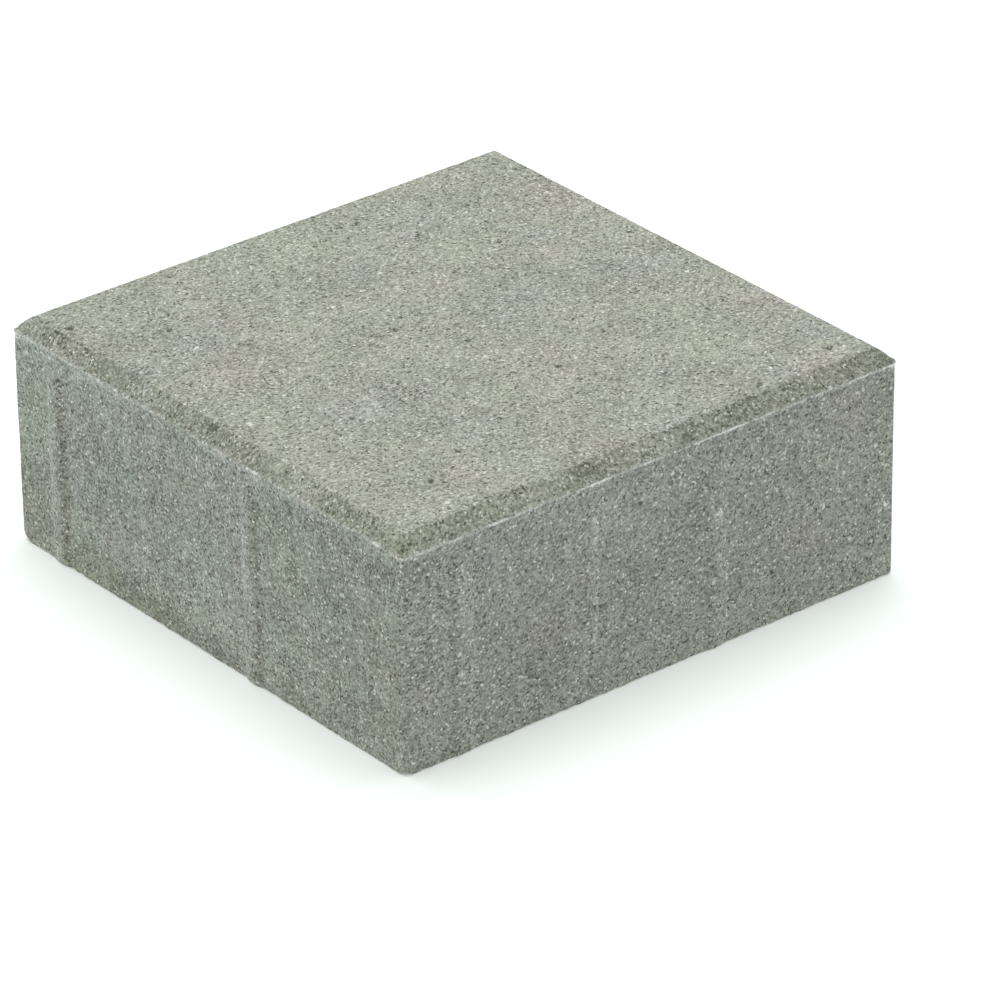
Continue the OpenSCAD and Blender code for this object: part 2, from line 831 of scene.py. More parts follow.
@dataclass(frozen=True)
class CastStone:
    """The stone as one closed piece."""

    sizes: BlockSizes
    rib: SpacerRib
    relief: Relief
    pores: tuple[Pore, ...]
    chips: tuple[Chip, ...]
    pale_grains: tuple[Pore, ...]
    dirt: tuple[Stain, ...]
    bloom: tuple[Stain, ...]
    streaks: tuple[Streak, ...]
    smears: tuple[Smear, ...]

    def cast(self, s: Surface) -> tuple[Array, Marks]:
        """Raises and lowers the plain surface into the cast one.

        Each place moves along its normal by the relief, less the pores. The ribs are pushed straight
        out from the sides, and the chips are cut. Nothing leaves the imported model's box.

        Args:
            s: the plain surface.

        Returns:
            The places of the cast surface, and its marks.
        """
        zones, grain = Zones.of(s, self.sizes), Grain.over(s.points, self.relief)
        z, noise = s.points[:, 2], self.relief.noise
        hollow = self.hollows(s.points, zones)
        shape = self.rib.shape(s.along, z) * s.rib_hold * zones.on_side
        left = self.rib.left_after_wear(s.side, z, noise.rough(s.points, self.rib.wear_size, 3, salt=9))
        lift = self.lift(s, zones, grain) - hollow
        moved = s.points + s.normals * lift[:, None]
        moved[:, :2] += s.outward * (self.rib.proud * shape * left)[:, None]
        for chip in self.chips:
            moved = chip.cut(moved, self.sizes, noise)
        low, high = (np.array(corner) for corner in CAD_BOX)
        return moved.clip(low, high), self.marks(s, zones, grain, hollow, shape)

    def rim(self, s: Surface, zones: Zones) -> Array:
        """The rim between wear face and bevel, as a bell curve of the inset about the bevel's edge."""
        r = self.relief
        return bell(s.inset - self.sizes.bevel_width + r.rim_setback, r.rim_width) * zones.upper

    def lift(self, s: Surface, zones: Zones, grain: Grain) -> Array:
        """How far the surface is raised, before pores and ribs.

        Each zone has its own sum of noises. The rim is rubbed and crumbled. Under the bevel's foot
        stands the lip, a bell curve of height, with a shallow groove above it. The toe of the sides
        is ragged, where the mould let go.

        Args:
            s: the plain surface.
            zones: what each place belongs to.
            grain: the noises.

        Returns:
            The height at each place.
        """
        r, z = self.relief, s.points[:, 2]
        above_foot = z - self.sizes.bevel_foot
        swell = grain.broad + 0.5 * grain.medium
        crust = 0.6 * grain.medium + 0.6 * grain.fine + 0.5 * grain.tight
        lift = zones.top * (-r.face_dip * (1 + grain.broad) / 2 - r.face_grain * (0.6 + grain.fine).clip(0))
        lift += zones.upright * (r.side_swell * swell + r.side_grain * grain.fine + r.drag * grain.drawn)
        lift += zones.bevel * (r.bevel_grain * crust)
        lift -= zones.bed * r.bed_dip * (0.5 + 0.5 * grain.fine).clip(0)
        crumbs = (grain.fine + 0.6 * grain.medium).clip(0)
        lift -= self.rim(s, zones) * (r.rim_wear + r.rim_crumble * crumbs)
        lip = bell(above_foot + r.lip_drop, r.lip_width) * grain.lip * zones.on_side
        groove = bell(above_foot - r.groove_rise, r.groove_width) * zones.upper
        lift += r.lip * lip - r.groove * groove
        toe = bell(z, r.toe_height) * (s.inset < r.toe_inset)
        lift -= toe * r.crumble * (0.3 + grain.fine + 0.9 * grain.medium).clip(0, 1.6)
        return lift

    def hollows(self, points: Array, zones: Zones) -> Array:
        """Depth of the pores: small and wide scattered ones, fewer on face and sides, and the placed.

        Args:
            points: the surface's places.
            zones: what each place belongs to.

        Returns:
            The depth at each place.
        """
        r, noise = self.relief, self.relief.noise
        small_hold = 0.5 * zones.top + 0.4 * zones.upright + 0.7 * zones.bevel + zones.bed
        wide_hold = 0.35 * zones.top + 0.2 * zones.upright + 0.5 * zones.bevel + zones.bed
        small = noise.pits(points, r.small_step, r.small_share, salt=51) * small_hold
        wide = noise.pits(points, r.wide_step, r.wide_share, salt=71) * wide_hold
        placed = np.sum([pore.depth_at(points, noise) for pore in self.pores], axis=0)
        return r.small_pit * small + r.wide_pit * wide + placed

    def marks(self, s: Surface, zones: Zones, grain: Grain, hollow: Array, shape: Array) -> Marks:
        """Notes what the finish is told at each place.

        One flank of each rib gets painted shade and the other a painted highlight, most at the
        root: the lit flanks face +X or +Y, as for light from behind. The crests are rubbed pale.
        The groove above the lip gets painted shade too. The placed stains are made uneven by noise.

        Args:
            s: the plain surface.
            zones: what each place belongs to.
            grain: the noises.
            hollow: depth of the pores.
            shape: how far the ribs rise, as a share.

        Returns:
            The marks.
        """
        points, noise, rib = s.points, self.relief.noise, self.rib
        # Painted light and shade on the rib flanks: above 0 on the highlighted flank, below 0 on the shaded
        # one.
        flank = rib.flank(s.along, points[:, 2]) * zones.on_side * by_side(rib.lit_flank, s.side)
        strong = by_side(rib.flank_shading, s.side) * (0.8 + 0.5 * grain.medium).clip(0.3, 1)
        crest = (shape - 0.6).clip(0) / 0.4
        # Crests rubbed pale, and a painted highlight on the lit flank.
        rubbed_and_lit = 0.12 * crest + 0.55 * flank.clip(0) ** 1.5 * np.sqrt(strong)
        streaked = np.max([streak.share_at(s, noise) for streak in self.streaks], axis=0)
        film_and_foot_light = np.sum([b.share_at(points) for b in self.bloom], axis=0)
        # Painted shade in the groove above the lip.
        near_lip = bell(s.inset - self.relief.groove_shade_inset, self.relief.groove_shade_width) * zones.upper
        # Painted shade on the ribs' flanks that face away from the light.
        flank_and_groove_shade = 1.1 * (-flank).clip(0) ** 1.3 * strong
        flank_and_groove_shade = flank_and_groove_shade + 0.25 * (near_lip * (zones.bevel + zones.on_side).clip(0, 1))
        dirt = np.sum([d.share_at(points) for d in self.dirt], axis=0)
        pale = np.sum([g.depth_at(points, noise) for g in self.pale_grains], axis=0)
        below = points[:, 2] - self.sizes.bevel_foot
        covers = [smear.share_at(below) for smear in self.smears]
        smeared = np.select([s.side == side.value for side in Side], covers)
        return Marks(
            # painted shade in the pores
            pore_shade=(hollow / self.relief.dark_pit).clip(0, 1),
            rim=self.rim(s, zones),
            lip=(smeared * grain.lip).clip(0, 1),
            flank_and_groove_shade=flank_and_groove_shade.clip(0, 1),
            wear=(np.maximum(rubbed_and_lit, streaked) + film_and_foot_light).clip(0, 1),
            side=zones.upright,
            bevel=zones.bevel,
            pale=pale.clip(0, 1),
            dirt=(dirt * (1 + 0.8 * grain.medium).clip(0.2, 1.8)).clip(0, 1),
            front=zones.upright * (s.side == Side.FRONT.value),
        )

    def make(self) -> bpy.types.Object:
        """Builds the piece.

        Returns:
            The object, at the origin and linked into the scene.
        """
        plain = StoneGrid(self.sizes, self.rib).build()
        points, marks = self.cast(plain)
        mesh = bpy.data.meshes.new("cast_stone")
        fill_mesh(mesh, points, plain.quads, plain.triangles)
        for mark in fields(Marks):
            layer = mesh.attributes.new(mark.name, "FLOAT", "POINT")
            layer.data.foreach_set("value", getattr(marks, mark.name).astype(np.float32))
        piece = bpy.data.objects.new("cast_stone", mesh)
        bpy.context.scene.collection.objects.link(piece)
        faces = 2 * len(plain.quads) + len(plain.triangles)
        log.info("cast_stone: %d points, %d triangles", len(points), faces)
        return piece


def fill_mesh(mesh: bpy.types.Mesh, points: Array, quads: Array, triangles: Array) -> None:
    """Puts worked-out arrays into a mesh, smooth shaded.

    Args:
        mesh: an empty mesh.
        points: places, one a row.
        quads: faces with four corners.
        triangles: faces with three corners.

    Returns:
        Nothing.
    """
    corners = np.concatenate([quads.ravel(), triangles.ravel()]).astype(np.int32)
    sizes = np.concatenate([np.full(len(quads), 4), np.full(len(triangles), 3)])
    starts = np.concatenate([[0], np.cumsum(sizes)[:-1]]).astype(np.int32)
    mesh.vertices.add(len(points))
    mesh.vertices.foreach_set("co", points.astype(np.float32).ravel())
    mesh.loops.add(len(corners))
    mesh.loops.foreach_set("vertex_index", corners)
    mesh.polygons.add(len(sizes))
    mesh.polygons.foreach_set("loop_start", starts)
    mesh.polygons.foreach_set("use_smooth", np.ones(len(sizes), bool))
    mesh.update(calc_edges=True)
    mesh.validate()


# ---------------------------------------------------------------- finish


class NodeBoard:
    """Adds and joins the nodes of one material."""

    def __init__(self, tree: bpy.types.NodeTree) -> None:
        """Starts on an emptied node tree."""
        self.tree = tree
        tree.nodes.clear()

    def add(self, kind: str, **settings: object) -> bpy.types.Node:
        """Adds a node.

        Args:
            kind: the node's type name, without its ShaderNode prefix.
            settings: the node's own properties.

        Returns:
            The node.
        """
        node = self.tree.nodes.new("ShaderNode" + kind)
        for name, value in settings.items():
            setattr(node, name, value)
        return node

    def feed(self, socket: Socket, value: object) -> None:
        """Links a socket to another, or sets its constant."""
        if isinstance(value, Socket):
            self.tree.links.new(value, socket)
        else:
            socket.default_value = value

    def maths(self, operation: str, a: object, b: object = 0.0, clamp: bool = False) -> Socket:
        """Joins two numbers.

        Args:
            operation: what is done with them, such as ADD.
            a: first number or socket.
            b: second number or socket.
            clamp: keeps the result from 0 to 1.

        Returns:
            The result's socket.
        """
        node = self.add("Math", operation=operation, use_clamp=clamp)
        self.feed(node.inputs[0], a)
        self.feed(node.inputs[1], b)
        return node.outputs[0]

    def total(self, *terms: object) -> Socket:
        """Adds several numbers or sockets up."""
        result = terms[0]
        for term in terms[1:]:
            result = self.maths("ADD", result, term)
        return result

    def ramp(self, value: object, low: float, high: float, to: tuple[float, float] = (0, 1)) -> Socket:
        """Stretches a number from one range to another, and stops at its ends.

        Args:
            value: the number's socket.
            low: what becomes the first end.
            high: what becomes the second end.
            to: the two ends.

        Returns:
            The result's socket.
        """
        node = self.add("MapRange", clamp=True)
        self.feed(node.inputs["Value"], value)
        for name, number in zip(("From Min", "From Max", "To Min", "To Max"), (low, high, *to)):
            node.inputs[name].default_value = number
        return node.outputs["Result"]

    def noise(self, where: Socket, size: float, detail: float = 2.0, rough: float = 0.5) -> Socket:
        """Soft noise with hills of a given size.

        Args:
            where: the place's socket.
            size: distance from hill to hill.
            detail: how many finer sizes are added.
            rough: how strong they are.

        Returns:
            A socket about 0.5, mostly from 0.3 to 0.7.
        """
        node = self.add("TexNoise")
        self.feed(node.inputs["Vector"], where)
        node.inputs["Scale"].default_value = 1 / size
        node.inputs["Detail"].default_value = detail
        node.inputs["Roughness"].default_value = rough
        return node.outputs["Fac"]

    def grains(self, where: Socket, size: float) -> tuple[Socket, Socket]:
        """Close-packed grains of a given size.

        Args:
            where: the place's socket.
            size: distance from grain to grain.

        Returns:
            A random number for each grain, and the distance from its middle in grain sizes.
        """
        node = self.add("TexVoronoi", feature="F1")
        self.feed(node.inputs["Vector"], where)
        node.inputs["Scale"].default_value = 1 / size
        split = self.add("SeparateColor")
        self.feed(split.inputs[0], node.outputs["Color"])
        return split.outputs[0], node.outputs["Distance"]

    def tint(self, share: object, a: object, b: object, blend: str = "MIX") -> Socket:
        """Blends two colours.

        Args:
            share: how much of the second colour shows.
            a: first colour or socket.
            b: second colour or socket.
            blend: how the second lies over the first.

        Returns:
            The blended colour's socket.
        """
        node = self.add("Mix", data_type="RGBA", blend_type=blend, clamp_factor=True)
        self.feed(node.inputs[0], share)
        for socket, colour in ((node.inputs[6], a), (node.inputs[7], b)):
            self.feed(socket, colour if isinstance(colour, Socket) else (*colour, 1.0))
        return node.outputs[2]

    def stretched(self, where: Socket, scale: tuple[float, float, float]) -> Socket:
        """Places whose pattern is drawn out along the axes with a small scale."""
        node = self.add("Mapping")
        self.feed(node.inputs["Vector"], where)
        node.inputs["Scale"].default_value = scale
        return node.outputs[0]

    def moved(self, where: Socket, by: tuple[float, float, float]) -> Socket:
        """Places moved aside, so that two patterns of a kind differ."""
        node = self.add("Mapping")
        self.feed(node.inputs["Vector"], where)
        node.inputs["Location"].default_value = by
        return node.outputs[0]

    def mark(self, name: str) -> Socket:
        """Reads one of the surface's marks."""
        return self.add("Attribute", attribute_name=name).outputs["Fac"]

    def by_zone(self, face: float, side: float, front: float) -> Socket:
        """A number that differs between the wear face, the sides, and the front side.

        Args:
            face: the number on the wear face.
            side: the number on the sides.
            front: the number on the front side.

        Returns:
            The number's socket, evenly blended where one zone runs into another.
        """
        beside = self.ramp(self.mark("side"), 0, 1, (face, side))
        return self.maths("ADD", beside, self.ramp(self.mark("front"), 0, 1, (0, front - side)))


@dataclass(frozen=True)
class Fleck:
    """Ragged flecks of a colour, where a mark and a noise together pass a threshold."""

    mark: str
    ragged: Socket
    begin: float
    full: float
    cover: float
    colour: Colour

    def over(self, board: NodeBoard, colour: Socket) -> Socket:
        """Lays the flecks over a colour.

        Args:
            board: the material's nodes.
            colour: the colour so far.

        Returns:
            The flecked colour.
        """
        there = board.ramp(board.mark(self.mark), 0.02, 0.1)
        total = board.maths("ADD", board.mark(self.mark), self.ragged)
        cover = board.ramp(total, self.begin, self.full, (0, self.cover))
        return board.tint(board.maths("MULTIPLY", there, cover, True), colour, self.colour)


@dataclass(frozen=True)
class ConcreteFinish:
    """Pressed grey concrete: sand and cement, open grained, a little stained."""

    face: Colour = (0.347, 0.360, 0.297)
    side: Colour = (0.2885, 0.3117, 0.2712)
    # Painted shade: the front side a little darker and redder than the other sides, for the light on it.
    front: Colour = (0.293, 0.299, 0.268)
    blue: Colour = (0.298, 0.345, 0.345)
    mauve: Colour = (0.378, 0.352, 0.320)
    moss: Colour = (0.322, 0.372, 0.282)
    # Pale cement paste of lip and rubs; also painted light at the foot of the sides and on rib flanks.
    paste: Colour = (0.66, 0.68, 0.64)
    quartz: Colour = (0.82, 0.82, 0.78)
    # Dark brown for painted shade: rib flanks, the groove above the lip, and a contact shadow at the foot.
    shade_brown: Colour = (0.200, 0.197, 0.150)
    # Darker tone towards the bottom of the sides, in patches.
    foot_dark_tone: Colour = (0.272, 0.276, 0.205)
    grime: Colour = (0.205, 0.225, 0.160)
    earth: Colour = (0.225, 0.228, 0.170)
    # Near black: painted shade in pores; also dark stones, darkest sand, and dark flecks on rim and bevel.
    hollow: Colour = (0.075, 0.075, 0.055)
    sand: float = 0.68 * MM
    fines: float = 0.40 * MM
    stones: float = 3.2 * MM
    mottle: float = 1.6 * MM
    clumps: float = 6 * MM
    clouds: float = 18 * MM
    layers: float = 15 * MM
    drags: float = 2.6 * MM
    darkening_height: float = 32 * MM
    # Painted light: how high the pale tint at the foot of the sides reaches.
    foot_light_height: float = 22 * MM
    roughness: float = 0.92
    polish: float = 0.07
    shine: float = 0.3
    relief: float = 0.22 * MM
    relief_strength: float = 0.8

    def material(self) -> bpy.types.Material:
        """Builds the material.

        Sand grains and fines each get a random tone, under soft clouds. Wide patches lean blue,
        mauve or green. Sparse stones show dark or pale. The marks of the surface paint shade into
        its pores, darken its rim, and lighten its lip, crests and rubs. They also paint shade on one
        flank of each rib and in the groove above the lip, and a highlight on the other flank. The
        front side's colour holds painted shade, and the foot of the sides painted light from the
        floor and a painted contact shadow.

        Returns:
            The material.
        """
        material = bpy.data.materials.new("pressed_concrete")
        material.use_nodes = True
        board = NodeBoard(material.node_tree)
        where = board.add("TexCoord").outputs["Object"]
        sand, sand_gap = board.grains(where, self.sand)
        fines, _ = board.grains(where, self.fines)
        mottle = board.noise(where, self.mottle, 2, 0.6)

        colour = board.tint(board.mark("side"), self.face, self.side)
        # Painted shade: the front side's own darker, redder colour.
        colour = board.tint(board.mark("front"), colour, self.front)
        colour = self.patches(board, where, colour)
        colour = self.stains_and_shading(board, where, colour)
        grey = board.add("CombineColor")
        tone = self.tone(board, where, sand, fines, mottle)
        for socket in grey.inputs:
            board.feed(socket, tone)
        colour = board.tint(1.0, colour, grey.outputs[0], "MULTIPLY")
        colour = self.specks(board, where, colour, sand)
        colour = self.marks(board, where, colour, sand)

        shader = board.add("BsdfPrincipled")
        board.feed(shader.inputs["Base Color"], colour)
        rough = board.ramp(mottle, 0.3, 0.7, (self.roughness - self.polish, self.roughness))
        board.feed(shader.inputs["Roughness"], rough)
        shader.inputs["Specular IOR Level"].default_value = self.shine
        board.feed(shader.inputs["Normal"], self.bump(board, where, sand, sand_gap, fines))
        out = board.add("OutputMaterial")
        board.feed(out.inputs["Surface"], shader.outputs[0])
        return material

    def tone(self, board: NodeBoard, where: Socket, sand: Socket, fines: Socket, mottle: Socket) -> Socket:
        """The grain's light and dark, about one.

        It is one plus the sum of each pattern's distance from its middle times its weight. Two of
        the patterns are stretched: layers along the filling, and upright drags on the sides.

        Args:
            board: the material's nodes.
            where: the place's socket.
            sand: random number of each sand grain.
            fines: random number of each finer grain.
            mottle: noise a few grains wide.

        Returns:
            The socket of a factor for the colour.
        """
        layers = board.noise(board.stretched(where, (0.3, 0.3, 1.0)), self.layers, 2, 0.5)
        drags = board.noise(board.stretched(where, (1.0, 1.0, 0.06)), self.drags, 2, 0.6)
        parts = (
            (sand, 0.80),
            (fines, 0.50),
            (mottle, board.by_zone(0.44, 0.50, 0.28)),
            (board.noise(where, self.clumps, 2, 0.5), board.by_zone(0.26, 0.50, 0.22)),
            (board.noise(where, self.clouds, 2, 0.5), board.by_zone(0.42, 0.42, 0.10)),
            (layers, board.by_zone(0, 0.36, 0.10)),
            (drags, board.by_zone(0, 0.26, 0.26)),
        )
        terms = [board.maths("MULTIPLY", board.maths("SUBTRACT", s, 0.5), k) for s, k in parts]
        return board.maths("MAXIMUM", board.total(board.by_zone(1.012, 0.955, 0.955), *terms), 0.12)

    def patches(self, board: NodeBoard, where: Socket, colour: Socket) -> Socket:
        """Leans wide patches blue, mauve or green, and darkens the foot of the sides.

        The darkening fades upwards. Over it lies a pale tint that fades sooner, painted light from
        the floor, and along the lowest millimetre a painted contact shadow.

        Args:
            board: the material's nodes.
            where: the place's socket.
            colour: the colour so far.

        Returns:
            The colour after the patches.
        """
        calm = board.by_zone(1.0, 1.0, 0.65)
        for lean, size, place, most in (
            (self.blue, 30 * MM, (0.00, 0.00, 0.00), 0.36),
            (self.mauve, 34 * MM, (0.31, 0.17, 0.53), 0.60),
            (self.moss, 27 * MM, (0.83, 0.41, 0.12), 0.48),
        ):
            pattern = board.noise(board.moved(where, place), size, 3, 0.6)
            share = board.maths("MULTIPLY", board.ramp(pattern, 0.46, 0.72, (0, most)), calm)
            colour = board.tint(share, colour, lean)
        height = board.add("SeparateXYZ")
        board.feed(height.inputs[0], where)
        up = height.outputs["Z"]
        # Darker towards the bottom, in patches, fading upwards.
        low = board.maths("MULTIPLY", board.ramp(up, 0.0, self.darkening_height, (1, 0)), calm)
        overlay = board.noise(board.moved(where, (0.2, 0.6, 0.9)), 15 * MM, 3, 0.6)
        share = board.maths("MULTIPLY", low, board.ramp(overlay, 0.40, 0.66, (0.08, 0.52)))
        colour = board.tint(share, colour, self.foot_dark_tone)
        # Painted light: a pale tint at the foot of the sides, fading upwards, for light from the floor.
        fading = board.ramp(up, 0.5 * MM, self.foot_light_height, (0.15, 0))
        film_and_foot_light = board.maths("MULTIPLY", fading, board.mark("side"))
        colour = board.tint(film_and_foot_light, colour, self.paste)
        # Painted contact shadow: the lowest millimetre is darkened towards the dark brown.
        return board.tint(board.ramp(up, 0.1 * MM, 1.0 * MM, (0.2, 0)), colour, self.shade_brown)

    def stains_and_shading(self, board: NodeBoard, where: Socket, colour: Socket) -> Socket:
        """Stains the concrete under its grain and paints shade and light on it, as its marks say.

        Cloudy grime lies on the bevel and along its rim, and ground-in dirt on the sides. The ribs'
        flanks that face away from the light, and the groove above the lip, get painted shade. Rubs and
        films of cement are pale, and so is the painted highlight on the ribs' other flanks.

        Args:
            board: the material's nodes.
            where: the place's socket.
            colour: the colour so far.

        Returns:
            The stained colour.
        """
        cloudy = board.noise(board.moved(where, (0.9, 0.3, 0.5)), 7 * MM, 2, 0.6)
        for mark, low, high, overlay in (
            ("bevel", 0.04, 0.46, self.grime),
            ("dirt", 0.7, 1.3, self.earth),
            # painted shade on the ribs' flanks and in the groove above the lip
            ("flank_and_groove_shade", 0.7, 1.0, self.shade_brown),
            ("rim", 0.06, 0.22, self.grime),
            # pale: real rubs and films, and the painted highlight on the ribs' lit flanks
            ("wear", 0.5, 0.7, self.paste),
        ):
            uneven = board.ramp(cloudy, 0.36, 0.64, (low, high))
            share = board.maths("MULTIPLY", board.mark(mark), uneven, True)
            colour = board.tint(share, colour, overlay)
        return colour

    def specks(self, board: NodeBoard, where: Socket, colour: Socket, sand: Socket) -> Socket:
        """Shows a few of the larger stones, and the darkest and palest of the sand.

        Args:
            board: the material's nodes.
            where: the place's socket.
            colour: the colour so far.
            sand: random number of each sand grain.

        Returns:
            The colour with the stones.
        """
        stone, gap = board.grains(where, self.stones)
        ragged = board.ramp(board.noise(where, 0.9 * MM, 1), 0.3, 0.7, (-0.12, 0.12))
        body = board.ramp(board.maths("ADD", gap, ragged), 0.12, 0.22, (1, 0))
        dark = board.maths("MULTIPLY", body, board.ramp(stone, 0.88, 0.91, (0, 0.8)))
        pale = board.maths("MULTIPLY", body, board.ramp(stone, 0.04, 0.07, (0.6, 0)))
        colour = board.tint(dark, colour, self.hollow)
        colour = board.tint(pale, colour, self.quartz)
        colour = board.tint(board.ramp(sand, 0.95, 0.98, (0, 0.55)), colour, self.quartz)
        return board.tint(board.ramp(sand, 0.02, 0.05, (0.75, 0)), colour, self.hollow)

    def marks(self, board: NodeBoard, where: Socket, colour: Socket, sand: Socket) -> Socket:
        """Puts the surface's marks over the colour.

        A fine noise breaks up pores, rim and lip: each shows where the mark and the noise together
        pass a threshold, which leaves ragged flecks with bare concrete between.

        Args:
            board: the material's nodes.
            where: the place's socket.
            colour: the colour so far.
            sand: random number of each sand grain.

        Returns:
            The finished colour.
        """
        fine = board.ramp(board.noise(board.moved(where, (0.4, 0.7, 0.1)), 1.3 * MM, 2, 0.7), 0.28, 0.72)
        coarse = board.ramp(board.noise(where, 12 * MM, 1), 0.3, 0.7, (-0.32, 0.32))
        patchy = board.maths("ADD", coarse, fine)
        squeezed = board.maths("MULTIPLY", board.mark("lip"), board.ramp(sand, 0, 1, (0.3, 1.0)), True)
        for fleck in (
            # painted shade in the pores
            Fleck("pore_shade", fine, 0.88, 1.20, 0.82, self.hollow),
            Fleck("rim", patchy, 1.60, 1.80, 0.75, self.hollow),
            Fleck("bevel", patchy, 1.70, 1.95, 0.60, self.hollow),
        ):
            colour = fleck.over(board, colour)
        colour = board.tint(squeezed, colour, self.paste)
        for fleck in (
            Fleck("lip", patchy, 1.20, 1.50, 0.80, self.quartz),
            Fleck("pale", fine, 0.84, 1.14, 0.85, self.quartz),
        ):
            colour = fleck.over(board, colour)
        return colour

    def bump(self, board: NodeBoard, where: Socket, sand: Socket, gap: Socket, fines: Socket) -> Socket:
        """The fine relief of the grain, too fine for the mesh.

        Args:
            board: the material's nodes.
            where: the place's socket.
            sand: random number of each sand grain.
            gap: distance from each sand grain's middle.
            fines: random number of each finer grain.

        Returns:
            The socket of the bent normal.
        """
        dome = board.ramp(gap, 0.0, 0.8, (1, 0))
        proud = board.maths("MULTIPLY", dome, board.ramp(sand, 0, 1, (0.2, 1)))
        coarse = board.maths("MULTIPLY", board.noise(where, 1.1 * MM, 3, 0.6), 1.2)
        height = board.total(proud, board.maths("MULTIPLY", fines, 0.35), coarse)
        node = board.add("Bump")
        node.inputs["Strength"].default_value = self.relief_strength
        node.inputs["Distance"].default_value = self.relief
        board.feed(node.inputs["Height"], height)
        return node.outputs["Normal"]


# ---------------------------------------------------------------- studio


@dataclass(frozen=True)
class Viewpoint:
    """Where the camera stands, and what it looks at."""

    azimuth: float = -38.94
    elevation: float = 28.37
    roll: float = -0.66
    distance: float = 2.117
    lens: float = 239.7
    aim: tuple[float, float, float] = (0.0164, -0.0028, 0.0152)
    sensor: float = 36
    reach: float = 50

    def camera(self) -> bpy.types.Object:
        """Makes the camera and gives it to the scene.

        Returns:
            The camera.
        """
        a, e, r = (math.radians(v) for v in (self.azimuth, self.elevation, self.roll))
        back = Vector((math.sin(a) * math.cos(e), -math.cos(a) * math.cos(e), math.sin(e)))
        level = Vector((math.cos(a), math.sin(a), 0))
        up = back.cross(level)
        right = level * math.cos(r) + up * math.sin(r)
        data = bpy.data.cameras.new("camera")
        data.lens = self.lens
        data.sensor_width = self.sensor
        data.clip_end = self.reach
        camera = bpy.data.objects.new("camera", data)
        turn = Matrix((right, back.cross(right), back)).transposed()
        camera.matrix_world = Matrix.Translation(Vector(self.aim) + back * self.distance) @ turn.to_4x4()
        bpy.context.scene.collection.objects.link(camera)
        bpy.context.scene.camera = camera
        return camera


@dataclass(frozen=True)
class Lamp:
    """One soft square light that points at the stone."""

    name: str
    place: tuple[float, float, float]
    size: float
    power: float

    def make(self) -> bpy.types.Object:
        """Makes the light, linked into the scene."""
        data = bpy.data.lights.new(self.name, "AREA")
        data.shape, data.size, data.energy = "SQUARE", self.size, self.power
        lamp = bpy.data.objects.new(self.name, data)
        lamp.location = self.place
        lamp.rotation_euler = Vector(self.place).to_track_quat("Z", "Y").to_euler()
        bpy.context.scene.collection.objects.link(lamp)
        return lamp


@dataclass(frozen=True)
class FloorSheet:
    """A pale sheet, lit faintly from below, flat under the stone and swept up far away."""

    colour: Colour = (0.92, 0.965, 0.945)
    glow: float = 0.21
    half: float = 9.0
    flat: float = 3.0
    rise: float = 1.2
    steps: int = 90

    def make(self) -> bpy.types.Object:
        """Builds the sheet.

        Its height is an S-shaped share of the rise, by the distance from the middle beyond the
        flat part.

        Returns:
            The sheet, staged as the floor.
        """
        line = np.linspace(-self.half, self.half, self.steps + 1)
        x, y = np.meshgrid(line, line, indexing="ij")
        share = ((np.hypot(x, y) - self.flat) / (self.half - self.flat)).clip(0, 1)
        z = self.rise * share**2 * (3 - 2 * share)
        mesh = bpy.data.meshes.new("floor")
        points = np.stack([x.ravel(), y.ravel(), z.ravel()], -1)
        fill_mesh(mesh, points, StoneGrid.patch(self.steps), np.zeros((0, 3), int))
        floor = bpy.data.objects.new("floor", mesh)
        bpy.context.scene.collection.objects.link(floor)
        paint = bpy.data.materials.new("floor_paint")
        paint.use_nodes = True
        board = NodeBoard(paint.node_tree)
        shader = board.add("BsdfPrincipled")
        shader.inputs["Base Color"].default_value = (*self.colour, 1)
        shader.inputs["Roughness"].default_value = 1.0
        shader.inputs["Specular IOR Level"].default_value = 0.0
        shader.inputs["Emission Color"].default_value = (*self.colour, 1)
        shader.inputs["Emission Strength"].default_value = self.glow
        board.feed(board.add("OutputMaterial").inputs["Surface"], shader.outputs[0])
        mesh.materials.append(paint)
        return floor


@dataclass(frozen=True)
class SoftSky:
    """Light from all round, stronger from behind the stone than from in front."""

    strength: float = 0.80
    lean: float = 0.54
    towards: tuple[float, float, float] = (0.45, 0.89, 0.0)

    def make(self) -> None:
        """Gives the scene its sky.

        The strength in a direction is the even strength times one plus the lean times how far the
        direction points towards the brighter side.
        """
        world = bpy.data.worlds.new("sky")
        world.use_nodes = True
        board = NodeBoard(world.node_tree)
        facing = board.add("VectorMath", operation="DOT_PRODUCT")
        board.feed(facing.inputs[0], board.add("TexCoord").outputs["Generated"])
        facing.inputs[1].default_value = self.towards
        leaning = board.maths("MULTIPLY", facing.outputs["Value"], self.strength * self.lean)
        background = board.add("Background")
        board.feed(background.inputs["Strength"], board.maths("ADD", leaning, self.strength))
        background.inputs["Color"].default_value = (1, 1, 1, 1)
        board.feed(board.add("OutputWorld").inputs["Surface"], background.outputs[0])
        bpy.context.scene.world = world


@dataclass(frozen=True)
class Studio:
    """A plain white floor under soft light from all round and from above."""

    floor: FloorSheet = FloorSheet()
    sky: SoftSky = SoftSky()
    lamps: tuple[Lamp, ...] = (Lamp("overhead", (0.1, 0.25, 2.2), 1.4, 17.5),)

    def make(self) -> None:
        """Builds the floor, the lamps and the sky."""
        self.floor.make()
        self.sky.make()
        for lamp in self.lamps:
            lamp.make()
        bpy.context.scene.view_settings.view_transform = "Standard"


# ---------------------------------------------------------------- the stone


